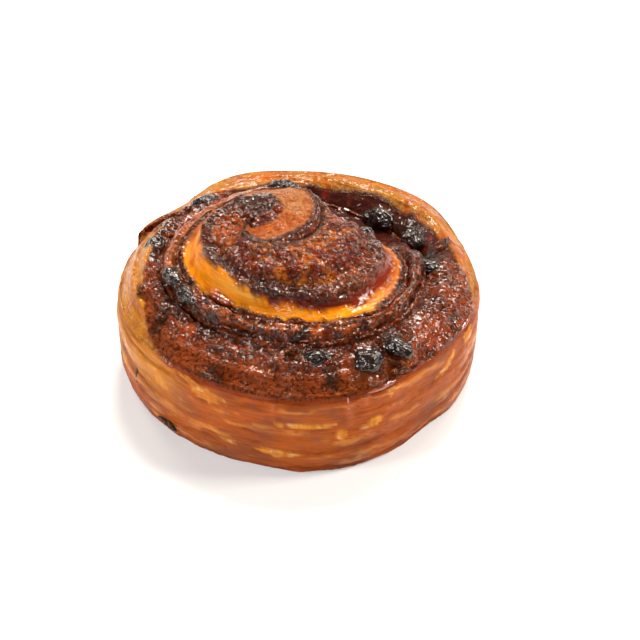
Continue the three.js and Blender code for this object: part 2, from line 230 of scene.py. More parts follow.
def strip_top(step, share, inner, outer):
    """Points on the strip's top between its two seams, without the crust's relief, and its thickness."""
    turns = angle_at(step) / TURN
    eighth = eighth_at(step)
    x = mix(inner[..., 0], outer[..., 0], share)
    y = mix(inner[..., 1], outer[..., 1], share)
    thickness = np.hypot(outer[..., 0] - inner[..., 0], outer[..., 1] - inner[..., 1])
    to_eye = np.hypot(inner[..., 0] - EYE[0], inner[..., 1] - EYE[1])
    closing = COIL_RADIUS * smooth((turns - 0.475) / 0.2) * (1 - smooth((turns - 0.78) / 0.1))
    rim = np.maximum(0, closing - to_eye)
    place = np.maximum(0, (share * thickness - rim) / np.maximum(thickness - rim, 1e-6))

    shelf, crest = through(SHELF_HEIGHT, eighth), through(CREST_HEIGHT, eighth)
    crest_at = crest_share(turns)
    trough = TROUGH_DEPTH * smooth((turns - 0.375) / 0.25) * smooth((1.375 - turns) / 0.25)
    knots = [
        (0 * crest_at, inner[..., 2]),
        (np.minimum(SHELF_AT, crest_at - 0.16), shelf),
        (crest_at - 0.14, mix(shelf, crest, 0.8) - trough),
        (crest_at, crest),
        (FOOT_AT + 0 * crest_at, mix(crest, outer[..., 2], 0.85)),
        (1.001 + 0 * crest_at, outer[..., 2]),
    ]
    stairs = 0.7 * smooth((1.875 - turns) / 0.375)
    height = knots[-1][1]
    for (start, low), (end, high) in zip(knots[-2::-1], knots[:0:-1]):
        t = np.clip((place - start) / (end - start), 0, 1)
        height = np.where(place <= end, mix(low, high, mix(t, smooth(t), stairs)), height)

    spread = ((x - HOLLOW["x"]) / 5.5) ** 2 + ((y - HOLLOW["y"]) / 4.2) ** 2

    def dip(distance, along):
        return np.exp(-((distance / GROOVE_WIDTH) ** 2)) * smooth((along - SLOT_FIRST) / 14)

    grooves = dip(share * thickness, step - STEPS)
    grooves = grooves + dip((1 - share) * thickness, step) * (step < TAIL_STEP)
    flap = flap_rise(angle_at(step)) * share * (1 - share) * 2 * (step > TAIL_STEP)
    z = height - HOLLOW["depth"] * np.exp(-spread) - GROOVE_DEPTH * grooves * 0.5 + flap
    return np.stack([x, y, z], -1), thickness


class Skin:
    """A closed surface gathered block by block, with named values kept at each point."""

    def __init__(self, names):
        self.blocks = {name: [] for name in ("co",) + names}
        self.size = 0
        self.faces = []

    def points(self, co, **values):
        co = np.asarray(co, float)
        shape = co.shape[:-1]
        count = int(np.prod(shape))
        for name, blocks in self.blocks.items():
            if name == "co":
                blocks.append(co.reshape(-1, 3))
            else:
                given = np.broadcast_to(np.asarray(values.get(name, 0.0), float), shape)
                blocks.append(given.reshape(-1))
        index = np.arange(self.size, self.size + count).reshape(shape)
        self.size += count
        return index

    def quads(self, a, b, c, d):
        """Seen from outside, a to b runs along one side and d to c along the other."""
        for corners in ((a, b, c), (a, c, d)):
            tri = np.stack([np.ravel(i) for i in np.broadcast_arrays(*corners)], -1)
            whole = (tri[:, 0] != tri[:, 1]) & (tri[:, 1] != tri[:, 2]) & (tri[:, 2] != tri[:, 0])
            self.faces.append(tri[whole])

    def loft(self, sections, *fans):
        """Faces round a row of closed sections, and fans over the ends that are given."""
        ring = np.concatenate([sections, sections[:, :1]], 1)
        self.quads(ring[:-1, :-1], ring[:-1, 1:], ring[1:, 1:], ring[1:, :-1])
        for fan in fans:
            self.quads(fan[0], fan[2:], fan[1:-1], fan[1:-1])

    def done(self):
        values = {name: np.concatenate(blocks) for name, blocks in self.blocks.items()}
        return values, np.concatenate(self.faces)


def normals_of(co, faces):
    across = np.cross(co[faces[:, 1]] - co[faces[:, 0]], co[faces[:, 2]] - co[faces[:, 0]])
    total = np.zeros_like(co)
    for k in range(3):
        for axis in range(3):
            total[:, axis] += np.bincount(faces[:, k], across[:, axis], len(co))
    return total / np.maximum(np.linalg.norm(total, axis=1, keepdims=True), 1e-12)


def keep_values(mesh, values, colours):
    """Keeps numbers, vectors and colours at the points of a mesh, for its material."""
    for key, value in values.items():
        kind, field = ("FLOAT_VECTOR", "vector") if value.ndim == 2 else ("FLOAT", "value")
        kept = mesh.attributes.new(key, kind, "POINT")
        kept.data.foreach_set(field, value.astype(np.float32).ravel())
    for key, value in colours.items():
        kept = mesh.attributes.new(key, "FLOAT_COLOR", "POINT")
        rgba = np.concatenate([value, np.ones((len(value), 1))], 1)
        kept.data.foreach_set("color", rgba.astype(np.float32).ravel())


def mesh_object(name, co_mm, faces, material):
    mesh = bpy.data.meshes.new(name)
    mesh.vertices.add(len(co_mm))
    mesh.vertices.foreach_set("co", (co_mm * MM).astype(np.float32).ravel())
    mesh.loops.add(faces.size)
    mesh.loops.foreach_set("vertex_index", faces.astype(np.int32).ravel())
    mesh.polygons.add(len(faces))
    mesh.polygons.foreach_set("loop_start", np.arange(0, faces.size, 3, dtype=np.int32))
    mesh.update(calc_edges=True)
    mesh.validate()
    mesh.polygons.foreach_set("use_smooth", np.full(len(faces), True))
    mesh.materials.append(material)
    made = bpy.data.objects.new(name, mesh)
    bpy.context.scene.collection.objects.link(made)
    return made


# Dough
def dough_skin():
    """The dough's closed surface, finer than the solid and with the same slot for the filling."""
    skin = Skin(("turns", "share", "thickness", "along", "across", "wall", "hidden"))
    columns = LAST_STEP * FINE + 1
    per_turn = STEPS * FINE
    step = np.arange(columns) / FINE
    step[step > LAST_STEP - 1e-9] = LAST_STEP
    half = FILLING_THICKNESS / 2 + SLOT_GAP
    plain = seam_at(step)
    slot = in_slot(step)
    towards = np.where(slot[:, None], slot_edge(step, -1, half), plain)
    away = np.where(slot[:, None], slot_edge(step, 1, half), plain)
    shallow = ~slot & (step < TAIL_STEP)
    deepening = smooth((step - SLOT_FIRST) / 14) * GROOVE_DEPTH * 0.5
    towards[shallow, 2] -= deepening[shallow]
    away[shallow, 2] -= deepening[shallow]
    towards[0] = away[0] = (EYE[0], EYE[1], EYE_HEIGHT)

    turns = angle_at(step) / TURN
    run = np.concatenate([[0], np.cumsum(np.hypot(*np.diff(plain[:, :2], axis=0).T))])
    common = {"turns": turns, "along": run}
    first_tail = TAIL_STEP * FINE
    body = slice(0, first_tail)

    def base_of(points):
        flat = points.copy()
        angle = np.arctan2(flat[:, 1], flat[:, 0])
        radius = np.hypot(flat[:, 0], flat[:, 1])
        keep = np.minimum(1, (wall_radius(angle) - BASE_TAPER - 0.6) / np.maximum(radius, 1e-6))
        flat[:, :2] *= keep[:, None]
        flat[:, 2] = 0
        return flat

    def ends(points, hidden=0.0):
        part = {name: value[body] for name, value in common.items()}
        return skin.points(points[body], share=1.0, hidden=hidden, **part)

    top_in = ends(towards)
    top_out = np.where(slot[body], ends(away), top_in)
    base_in = ends(base_of(towards), 1.0)
    base_out = np.where(slot[body], ends(base_of(away), 1.0), base_in)
    top_out[0], base_out[0] = top_in[0], base_in[0]

    # The side wall, from the rim down to the base
    tail = slice(first_tail, first_tail + per_turn)
    angle = angle_at(step[tail])
    rim = rim_height(angle)
    profile = [(RIM_INSET, 1.0)] + WALL_PROFILE + [(BASE_TAPER, 0.0)]
    at = np.linspace(0, len(profile) - 1, WALL_ROWS + 1)
    inset = through([p[0] for p in profile], at)
    share_up = through([p[1] for p in profile], at)
    inset[-1], share_up[-1] = BASE_TAPER, 0
    radius = wall_radius(angle)[:, None] - inset[None, :]
    wall_points = np.stack(
        [
            radius * np.cos(angle)[:, None],
            radius * np.sin(angle)[:, None],
            rim[:, None] * share_up[None, :],
        ],
        -1,
    )
    rows_down = np.linalg.norm(np.diff(wall_points, axis=1), axis=2)
    down = np.concatenate([np.zeros((len(angle), 1)), np.cumsum(rows_down, 1)], 1)
    wall = skin.points(
        wall_points,
        turns=turns[tail][:, None],
        share=1.0,
        thickness=15.0,
        along=(angle * ROUND_AT)[:, None],
        across=15 + down,
        wall=smooth(np.arange(WALL_ROWS + 1) / WALL_ROWS * 10)[None, :],
        hidden=(np.arange(WALL_ROWS + 1) == WALL_ROWS)[None, :],
    )
    ring = np.concatenate([wall, wall[:1]])
    skin.quads(ring[:-1, :-1], ring[:-1, 1:], ring[1:, 1:], ring[1:, :-1])

    rim_top, rim_base = ring[:, 0], ring[:, -1]
    top_in = np.concatenate([top_in, rim_top])
    top_out = np.concatenate([top_out, rim_top])
    base_in = np.concatenate([base_in, rim_base])
    base_out = np.concatenate([base_out, rim_base])

    # The top, between each seam and the one a turn further in
    inner_index = np.concatenate([np.full(per_turn, top_in[0]), top_out[: columns - per_turn]])
    inner = np.concatenate([np.repeat(towards[:1], per_turn, 0), away[: columns - per_turn]])
    shares = np.arange(1, ACROSS) / ACROSS
    points, thickness = strip_top(
        step[:, None], shares[None, :], inner[:, None, :], towards[:, None, :]
    )
    middle = skin.points(
        points,
        turns=turns[:, None],
        share=shares[None, :],
        thickness=thickness,
        along=run[:, None],
        across=shares[None, :] * thickness,
    )
    grid = np.concatenate([inner_index[:, None], middle, top_in[:, None]], 1)
    grid[0] = top_in[0]
    skin.quads(grid[:-1, :-1], grid[:-1, 1:], grid[1:, 1:], grid[1:, :-1])

    # The underside and the walls of the slot
    inner_base = np.concatenate([np.full(per_turn, base_in[0]), base_out[: columns - per_turn]])
    skin.quads(inner_base[:-1], inner_base[1:], base_in[1:], base_in[:-1])
    cut = np.arange(SLOT_FIRST * FINE, SLOT_LAST * FINE)
    skin.quads(top_in[cut], base_in[cut], base_in[cut + 1], top_in[cut + 1])
    skin.quads(top_out[cut], top_out[cut + 1], base_out[cut + 1], base_out[cut])
    return skin.done()


def srgb(red, green, blue):
    """A colour given in the usual 0 to 255 steps, as linear light."""
    c = np.array([red, green, blue]) / 255
    return np.where(c <= 0.04045, c / 12.92, ((c + 0.055) / 1.055) ** 2.4)


# Colours of the baked surface, and how far they are darkened to suit the strong lights
SHADE = 0.67
GOLD = srgb(255, 150, 2) * 1.12
GOLD_PALE = srgb(255, 184, 66)
GOLD_DEEP = srgb(214, 98, 2)
TAN = srgb(194, 114, 58)
TAN_DEEP = srgb(174, 84, 28)
CRUST = srgb(150, 58, 9)
CRUST_DARK = srgb(78, 19, 2)
CRUST_LIGHT = srgb(200, 98, 34)
# painted shade, laid in the crust's pits and in the cracks between its pebbles
PIT_AND_CRACK_SHADE = srgb(34, 7, 1)
CRUST_DRY = srgb(128, 66, 34)
BURNT = srgb(34, 17, 11)
# grey of charred crust; mottled on the dark crest and the burnt patch it is also a painted sheen
GREY_CHAR_AND_SHEEN = srgb(118, 82, 68)
LOBE = srgb(176, 114, 70)
AMBER = srgb(126, 30, 0)
# dark glaze pooled in the back hollow, darkened further as painted shade of the hollow
DEEP_AMBER_AND_SHADE = srgb(52, 5, 0)
FLANK = srgb(124, 34, 0)
ORANGE = srgb(204, 106, 4)
LEFT_GOLD = srgb(255, 166, 44)
WALL = srgb(192, 92, 26)
WALL_GOLD = srgb(255, 164, 60)
WALL_DARK = srgb(142, 60, 22)
WALL_DULL = srgb(150, 80, 48)
WALL_CREAM = srgb(255, 214, 150)
RAISIN_DARK = srgb(9, 2, 1)
RAISIN_BROWN = srgb(34, 9, 3)
GLAZE_DARK = srgb(110, 34, 4)
GLAZE_PALE = srgb(164, 74, 18)

# Shares of the strip's thickness where its golden cut edge begins, by tenths of a turn: on the
# innermost coil, and on the side of the mound
COIL_GOLD = {"first": -0.4, "shares": [0.8, 0.45, 0.36, 0.34, 0.36, 0.3, 0.38, 0.56, 0.66, 0.73]}
MOUND_GOLD = {"first": 0.4, "shares": [0.74, 0.73, 0.78, 0.84, 0.85, 0.87, 0.88, 0.89]}
GOLD_ENDS = 0.955

# Where the browned crust ends across the outermost strip, by sixteenths of a turn from +X
CRUST_EDGE = [
    0.78, 0.55, 0.42, 0.46, 0.34, 0.4, 0.6, 0.4, 0.3, 0.72, 1.1, 1.2, 1.2, 1.2, 1.2, 1.2,
]

# How much less glaze lies on some parts
DRIER = {
    "flank": 0.2, "hollow": 0.3, "lobe": 0.7, "coil_edge": 0.5, "rim_gold": 0.4, "flaky": 0.2,
    "band": 0.35,
}

# Burnt spots of the crust: x, y and reach, in millimetres
BURNT_SPOTS = [
    (-38, -21, 3.6), (-23, -42, 4), (0, -35.5, 4.2), (-30, -13, 4.5), (9, -44, 2.6), (36, 8, 4.5),
    (41.6, 14.6, 2), (-7, 42, 4.5), (47, 8.6, 1.8), (24, -31, 4), (-25, -27, 3.4), (30, 24, 4.5),
    (-42, 6, 4), (-39, 15, 3),
]

# Places where glaze lies smooth over the crust: x, y and reach, in millimetres
GLAZED = [
    (34.7, -23.9, 6), (-21.5, -20, 3.4), (-16.3, -18.2, 4), (6, -34.4, 4.5), (15, -40, 4),
    (25.8, -31, 3.6), (20.3, -42, 3), (39, -9, 4), (-30, -28, 3.5), (2, 6, 4), (-28, 20, 5),
    (10, 38, 5), (-10, -41, 3),
]

# Burnt bits that stand out of the crust: name, place, length, width and height, turn, tilt, char
BITS = [
    ("knob_left", (-42.8, -9.2, 33.4), (5.4, 4, 3.6), 1.9, 0.3, 0.1),
    ("flap_right", (40.6, 12.6, 31.4), (8, 2.2, 5), 1.0, 0.3, 0.35),
    ("curl_front", (27.2, -38.2, 29.2), (6, 2, 2.4), 0.5, 0.2, 0.2),
    ("flake_low_front", (-35.9, -32.3, 4.6), (7, 0.9, 2), -0.74, 0.2, 0.8),
    ("flake_low_left", (-44.6, -21.2, 12.9), (2.2, 0.9, 5), -1.1, 0.1, 0.8),
    ("char_left", (-37.6, -21, 33.6), (4.4, 2.6, 2), 2.1, 0.2, 0.7),
    ("char_front", (-1.6, -36.8, 34.6), (5, 2.6, 2), 0.1, 0.1, 0.6),
    ("char_corner", (-24.5, -40.5, 29.2), (4, 2.2, 1.6), -0.5, 0.2, 0.5),
]

# Peeled golden leaves of the side wall: angle in degrees, height, half length, half height, slope
PEELED = [
    (240, 23, 5.4, 2, -0.14), (232, 26, 3, 1.2, -0.2), (244, 10.5, 4.4, 1.9, -0.3),
    (272, 18.6, 7.6, 0.9, 0), (283.4, 14.4, 1.5, 2.3, 0), (326, 22, 3.6, 2, 0.5),
    (302, 25, 2.6, 1.6, 0.2), (294, 17, 3.4, 1.2, 0.2), (262, 8, 6, 1.4, 0), (218, 20, 4, 2.4, -0.4),
    (340, 24, 2.5, 2, 0.2), (20, 20, 5, 1.6, 0.1), (70, 15, 7, 1.6, -0.1), (110, 21, 6, 1.5, 0.1),
    (140, 11, 6, 1.8, 0), (165, 19, 5, 2, 0.1), (195, 12, 5, 1.8, -0.2),
]

# Runs of glaze down the side wall: angle in degrees, half width, lowest height
RUNS = [(285.6, 1.5, 16), (291, 1, 22), (262, 0.9, 21), (32, 1.2, 18), (128, 1.3, 17)]


def blend(base, colour, amount):
    """The base colours moved towards one colour, or a colour each, by an amount for each point."""
    return base + (np.asarray(colour) - base) * np.clip(amount, 0, 1)[:, None]


def all_over(colour, like):
    return colour * np.ones((len(like), 1))


def laid(colour, *coats):
    """Colours laid over a first one in turn, each with its amount for each point."""
    for tint, amount in coats:
        colour = blend(colour, tint, amount)
    return colour


def by_tenths(edge, turns):
    return through(edge["shares"], (turns - edge["first"]) * 10)


def spots(places, x, y):
    """Round spots given as x, y and reach, each 1 in its middle."""
    return np.max([np.exp(-(((x - a) ** 2 + (y - b) ** 2) / c**2)) for a, b, c in places], axis=0)


def degrees_between(angle, degrees):
    """How far an angle lies from a direction, in millimetres round the wall."""
    away = (angle - math.radians(degrees) + math.pi) % TURN - math.pi
    return away * ROUND_AT


def past_tail(angle):
    """How far a direction lies past the strip's end, in millimetres round the wall."""
    return ((angle - TAIL_ANGLE + 0.5) % TURN - 0.5) * ROUND_AT


def strip_end(angle, z):
    """The same for the end's ragged edge down the wall."""
    return past_tail(angle) - 2.2 - 1.6 * noise(z, z, 7, 97)


def wall_along(v):
    """Distance along the strip, carried on past its end as far as the end's ragged edge."""
    x, y, z = v["co"].T
    angle = np.arctan2(y, x)
    on_end = (v["wall"] > 0) & (past_tail(angle) > -0.001) & (strip_end(angle, z) < 0)
    return v["along"] + TURN * ROUND_AT * on_end


def coil_zones(v, share):
    """The innermost coil, on top of the mound: its golden face, burnt inner side and outer edge."""
    turns = v["turns"]
    on_coil = between(turns, 0.5, 0.46)
    gold = by_tenths(COIL_GOLD, turns)
    edge = between(turns, 0.52, 0.46) * between((1 - v["share"]) * v["thickness"], 1.7, 0.6)
    burnt = on_coil * between(share, gold + 0.02, gold - 0.06)
    burnt = burnt * between(turns, 0.03, 0.12) * between(turns, 0.48, 0.42)
    lobe = on_coil * between(share, gold - 0.03, gold + 0.05) * (1 - edge)
    return {"lobe": lobe, "coil_burnt": burnt, "coil_edge": edge}


def mound_zones(v, share):
    """The mound's side: its flank, dark crest, pooled amber glaze and golden band."""
    turns = v["turns"]
    on_mound = between(turns, 0.44, 0.5) * between(turns, 1.12, 1.04)
    gold = by_tenths(MOUND_GOLD, turns)
    band = on_mound * between(share, gold - 0.012, gold + 0.012)
    pool = between(turns, 0.64, 0.78) * mix(0.05, 0.11, between(turns, 0.8, 0.92))
    amber = on_mound * between(share, gold - pool - 0.02, gold - pool + 0.02)
    from_seam = v["share"] * v["thickness"]
    return {
        "band": band * between(share, GOLD_ENDS + 0.02, GOLD_ENDS - 0.01),
        "amber": amber * between(share, gold + 0.03, gold) * between(turns, 0.62, 0.72),
        "crest": on_mound * between(share, 0.54, 0.6) * between(share, gold, gold - 0.03),
        "flank": on_mound * between(share, 0.6, 0.54),
        "ridge": between(turns, 0.42, 0.5) * between(from_seam, 2.4, 0.8) * on_mound,
    }


def outer_zones(v, share, angle):
    """The flaky stretch of the outer turns and the golden rim outside the crust."""
    turns = v["turns"]
    outermost = turns > TAIL_STEP / STEPS - 0.5
    edge = around(CRUST_EDGE, angle)
    return {
        "flaky": between(turns, 1.24, 1.32) * between(turns, 1.56, 1.49),
        "rim_gold": outermost * between(share, edge - 0.035, edge + 0.035),
    }


def peeled_leaves(angle, z, torn):
    """The places of the wall where a leaf has peeled back, 1 inside each."""
    peeled = np.zeros(len(z))
    for degrees, height, half_length, half_height, slope in PEELED:
        away = degrees_between(angle, degrees)
        over = z - height - slope * away
        reach = (away / half_length) ** 2 + (over / half_height) ** 2
        peeled = np.maximum(peeled, between(reach + 0.8 * torn, 1.2, 0.5))
    return peeled


def glaze_runs(angle, z):
    runs = np.zeros(len(z))
    for degrees, half_width, lowest in RUNS:
        away = np.abs(degrees_between(angle, degrees) + 0.5 * noise(z, z, 5, 57))
        runs = np.maximum(runs, between(away, half_width, 0.3) * between(z, lowest, lowest + 3))
    return runs


def dough_zones(v):
    """How much each point belongs to each kind of baked surface, from 0 to 1."""
    x, y, z = v["co"].T
    turns, along = v["turns"], v["along"]
    angle = np.arctan2(y, x)
    ragged = 0.8 * layered(x, y, 2.6, 5) + 0.9 * noise(x, y, 6, 11)
    share = v["share"] + ragged * 0.7 / np.maximum(v["thickness"], 4)
    on_top = (1 - v["wall"]) * (1 - v["hidden"])

    zones = {**coil_zones(v, share), **mound_zones(v, share), **outer_zones(v, share, angle)}
    zones = {name: np.clip(value * on_top, 0, 1) for name, value in zones.items()}
    smooth_parts = zones["lobe"] + zones["band"] + zones["amber"] + zones["rim_gold"]
    crust = np.clip(1 - smooth_parts - 0.4 * zones["flaky"], 0, 1) * on_top
    zones["crust"] = crust
    charred = spots(BURNT_SPOTS, x + 1.2 * layered(x, y, 3, 71), y + 1.2 * layered(x, y, 3, 75))
    zones["burnt"] = between(charred + 0.3 * layered(x, y, 2.2, 77), 0.25, 0.6) * crust
    wander = 1.4 * layered(x, y, 3, 81)
    zones["glazed"] = between(spots(GLAZED, x + wander, y - wander), 0.3, 0.7) * crust
    # The back hollow, painted darker the lower it lies, as its shade
    deep = between(z + 1.2 * ragged, 35.5, 32.5) * between(turns, 2.0, 2.05) * between(y, 4, 12)
    zones["hollow"] = deep * between(x, -24, -12) * (1 - zones["rim_gold"]) * on_top
    dry = between(np.hypot(x, y) + 2 * layered(x, y, 5, 91), 40, 45) * crust
    zones["dry"] = dry * between(np.cos(angle - math.radians(235)), 0.1, 0.6)

    run = along + 2.5 * layered(along, z * 2, 5, 63)
    up = z + 0.9 * layered(along, z * 1.4, 4.5, 67)
    streak = noise(run / 15, up / 2.4, 1, 51) + 0.6 * noise(run / 6, up / 1.0, 1, 53)
    streak = streak + 0.3 * noise(run / 2.6, up / 0.55, 1, 55)
    torn = 0.7 * streak + 1.6 * layered(run, up * 1.7, 3.4, 59)
    on_wall = v["wall"] * (1 - v["hidden"])
    zones["streak"] = streak
    zones["peeled"] = peeled_leaves(angle, z, torn) * on_wall
    zones["runs"] = glaze_runs(angle, z) * on_wall
    return zones


def collars(x, y):
    """The crust that rises round each raisin, 1 at its edge."""
    total = np.zeros(len(x))
    for _, at, size, turn, _ in RAISINS:
        c, s = math.cos(turn), math.sin(turn)
        along = ((x - at[0]) * c + (y - at[1]) * s) / (size[0] / 2)
        across = ((y - at[1]) * c - (x - at[0]) * s) / (size[1] / 2)
        off = (np.hypot(along, across) - 0.95) * size[1] / 2
        total = np.maximum(total, np.exp(-((off / 1.1) ** 2)))
    return total


def bridged(x, y):
    """Where glaze and crust have run together over a seam, from 0 to 1."""
    return between(layered(x, y, 5, 33, 2), -0.35, 0.35)


def dough_relief(v, zones):
    """Height of the crags, flakes and wrinkles over the plain surface, in millimetres."""
    x, y, z = v["co"].T
    along, across = v["along"], v["across"]
    crags = 0.5 * layered(x, y, 6, 1, 2) + 0.55 * (0.5 - np.abs(noise(x, y, 3.1, 4)))
    crags = crags + 0.22 * noise(x, y, 1.7, 7) + mix(0.06, 0.2, zones["dry"]) * noise(x, y, 0.9, 9)
    crags = crags + 0.9 * collars(x, y)
    leaves = 0.22 * noise(along / 12, across / 1.3, 1, 3) + 0.16 * noise(along / 6, across / 0.7, 1, 8)
    leaves = leaves + 0.25 * noise(x, y, 5, 14)
    sheets = 0.3 * zones["streak"] + 0.4 * noise(along, z, 11, 15) + 0.2 * zones["peeled"]
    past_end = strip_end(np.arctan2(y, x), z)
    sheets = sheets + 0.3 * zones["runs"] - 0.7 * between(np.abs(past_end), 1.0, 0.1)
    from_seam = np.minimum(v["share"], 1 - v["share"]) * v["thickness"]
    room = np.where(v["wall"] > 0, 1, between(from_seam, 0.0, 0.4))
    crusty = np.clip(zones["crust"] + 0.25 * zones["flaky"], 0, 1) * mix(1, 0.35, zones["hollow"])
    crags = crags * mix(1, 0.6, zones["glazed"])
    height = mix(leaves * (1 - 0.8 * zones["amber"]), crags, crusty) * room
    height = height - 0.5 * zones["amber"] + 0.15 * zones["burnt"]
    near_seam = np.exp(-((from_seam / 1.5) ** 2)) * between(v["thickness"], 1, 4)
    near_seam = near_seam * (1 - v["wall"]) * (1 - zones["rim_gold"]) * between(v["turns"], 3.1, 2.8)
    height = height + bridged(x, y) * near_seam
    return mix(height, sheets, v["wall"]) * (1 - v["hidden"])


def crust_colour(x, y):
    fine = layered(x, y, 1.3, 23)
    light = between(0.5 * layered(x, y, 7, 21) + fine, -0.1, 0.9)
    dark = between(0.8 * layered(x, y, 3.2, 25) + 0.6 * fine, 0.0, 0.8)
    return laid(all_over(CRUST, x), (CRUST_LIGHT, light * 0.75), (CRUST_DARK, dark * 0.8))


def on_ridge(v):
    """How near a place on the top lies to the crest of its turn, from 0 to 1."""
    return between(v["share"], 0.15, 0.35) * between(v["share"], 0.9, 0.7) * (v["wall"] == 0)


def flank_colour(v, broad, blotch, fine):
    turns, share = v["turns"], v["share"]
    dark = between(blotch * 0.6 - broad * 0.5 + fine * 0.8, 0.1, 0.8)
    shine = between(share, 0.5, 0.53) * between(share, 0.58, 0.55) * between(turns, 0.7, 0.76)
    return laid(
        all_over(FLANK, turns),
        (ORANGE, between(0.6 * broad + blotch, 0.0, 0.7) * 0.85),
        (CRUST_DARK, dark * 0.8),
        (ORANGE, shine * between(turns, 0.9, 0.84) * 0.8),
    )


def crest_colour(turns, blotch, fine):
    # the grey mottling on the dark crest is partly a painted sheen
    return laid(
        all_over(CRUST_DARK, turns),
        (GREY_CHAR_AND_SHEEN, between(fine + 0.5 * blotch, 0.1, 0.9) * 0.7),
        (TAN_DEEP, between(turns, 0.78, 0.86) * between(turns, 1.0, 0.94) * 0.45),
    )


def band_colour(turns, lines):
    paler = between(turns, 0.86, 0.93) + between(turns, 0.52, 0.47)
    return laid(
        all_over(GOLD, turns),
        (GOLD_PALE, between(lines, 0.1, 1.1) * 0.8),
        (GOLD_DEEP, between(lines, -0.1, -1.0) * 0.8),
        (mix(TAN, TAN_DEEP, 0.6), np.clip(paler, 0, 1) * 0.8),
    )


def coil_colour(v, lines, blotch, fine):
    turns = v["turns"]
    return laid(
        all_over(LOBE, turns),
        (TAN_DEEP, between(turns, 0.05, -0.12) * between(v["share"], 0.95, 0.7) * 0.9),
        (TAN_DEEP, between(lines + blotch, 0.2, 1.2) * 0.5),
        (CRUST_LIGHT, between(turns, 0.22, 0.4) * 0.55),
        (CRUST, between(fine + 0.5 * blotch, 0.1, 0.8) * 0.7),
    )


def rim_colour(angle, lines, blotch, fine):
    leftmost = between(np.cos(angle - math.radians(200)), 0.8, 0.97)
    return laid(
        all_over(mix(GOLD_PALE, TAN, 0.5) * 0.6, angle),
        (GOLD_DEEP, between(lines + blotch, 0.0, 1.0) * 0.75),
        (TAN_DEEP, between(lines - blotch, 0.0, 1.0) * 0.7),
        (CRUST, between(1.2 * blotch + fine, 0.15, 0.9) * 0.75),
        (LEFT_GOLD * 0.66, leftmost * between(fine, 0.9, 0.3) * 0.85),
        (TAN_DEEP, leftmost * between(lines + 0.6 * blotch, 0.0, 1.0) * 0.8),
    )


def side_colour(v, zones, angle, fine):
    """The side wall: streaks of lamination, peeled leaves, and crust that comes over the rim."""
    along, z = v["along"], v["co"][:, 2]
    streak, peeled = zones["streak"], zones["peeled"]
    torn = layered(along, z * 2.4, 2.2, 65)
    leftward = between(np.cos(angle - math.radians(195)), 0.75, 0.97)
    lip = z - rim_height(angle) + 0.7 * layered(along, z, 3, 73)
    return laid(
        all_over(WALL, z),
        (WALL_DULL, between(layered(along, z * 1.6, 13, 61), -0.1, 0.6) * 0.75),
        (WALL_DARK, between(streak, -0.1, -1.1) * 0.7),
        (WALL_GOLD, between(streak, 0.35, 1.0) * 0.5),
        (WALL_DULL, between(layered(along, z * 1.6, 3.6, 69), 0.0, 0.8) * 0.6),
        (WALL_GOLD, peeled * (0.65 + 0.5 * fine)),
        (WALL_CREAM, peeled * between(torn, 0.15, 0.6) * 0.6),
        (WALL_DARK, peeled * between(torn, -0.35, -0.8) * 0.6),
        (CRUST_DARK, between(layered(along, z, 1.8, 67), 0.75, 1.0) * 0.5),
        (LEFT_GOLD * 0.74, leftward * between(z, 8, 22) * 0.7),
        (WALL_DARK, leftward * between(streak, -0.1, -0.9) * 0.5),
        (WALL_DARK, between(z, 3, 0.5) * 0.5),
        (CRUST_DARK, between(np.abs(strip_end(angle, z)), 0.9, 0.2) * 0.8),
        (CRUST_LIGHT, zones["runs"] * 0.5),
        (CRUST, between(around(CRUST_EDGE, angle), 0.95, 1.1) * between(lip, -2.0, -1.5)),
    )


def dough_colour(v, zones):
    """The colours of all the zones, laid over each other."""
    x, y, _ = v["co"].T
    along, across, turns = v["along"], v["across"], v["turns"]
    angle = np.arctan2(y, x)
    broad = layered(x, y, 7, 21)
    blotch = layered(x, y, 3.2, 25)
    fine = layered(x, y, 1.3, 23)
    lines = noise(along / 12, across / 0.8, 1, 41) + 0.6 * noise(along / 7, across / 0.4, 1, 43)
    middle = between(np.hypot(x, y), 46, 38)
    inner = between(turns, 0.1, 0.0) * between(turns, 0.5, 0.46) * (1 - zones["lobe"])
    flaky = blend(all_over(mix(TAN, GREY_CHAR_AND_SHEEN, 0.25), x), CRUST, between(lines, 0.0, 0.9) * 0.8)
    onward = between(turns, 1.1, 1.2) * between(turns, 2.0, 1.9) * on_ridge(v)
    under = blend(all_over(WALL, x), WALL_DARK, between(broad, -0.4, 0.6))
    colour = laid(
        crust_colour(x, y),
        (CRUST_DARK, middle * 0.75 * between(broad, -0.6, 0.4)),
        (CRUST_DRY, zones["dry"] * 0.4),
        (flank_colour(v, broad, blotch, fine), zones["flank"]),
        (CRUST_LIGHT, zones["flank"] * between(turns, 0.64, 0.56) * 0.5),
        (crest_colour(turns, blotch, fine), zones["crest"] * 0.92),
        (GREY_CHAR_AND_SHEEN, zones["ridge"] * 0.8),
        (band_colour(turns, lines), zones["band"]),
        (AMBER, zones["amber"] * 0.95),
        (coil_colour(v, lines, blotch, fine), zones["lobe"]),
        (FLANK, inner * 0.8),
        # the burnt patch, with a little painted grey sheen
        (mix(BURNT, GREY_CHAR_AND_SHEEN, 0.2), zones["coil_burnt"] * (0.9 + 0.3 * fine)),
        (GREY_CHAR_AND_SHEEN, zones["coil_edge"] * 0.85),
        (flaky, zones["flaky"] * 0.85),
        (rim_colour(angle, lines, blotch, fine), zones["rim_gold"]),
        (CRUST_LIGHT, onward * between(fine + blotch, -0.6, 0.4) * 0.7),
        # the back hollow: dark pooled glaze with painted shade
        (DEEP_AMBER_AND_SHADE, zones["hollow"] * 0.95),
        (AMBER, zones["hollow"] * between(blotch + 0.6 * broad, 0.3, 0.8) * 0.8),
        (BURNT, zones["burnt"] * (0.75 + 0.4 * fine)),
        (side_colour(v, zones, angle, fine), v["wall"]),
        (under, v["hidden"] > 0),
    )
    return np.clip(colour * SHADE, 0.001, 1)


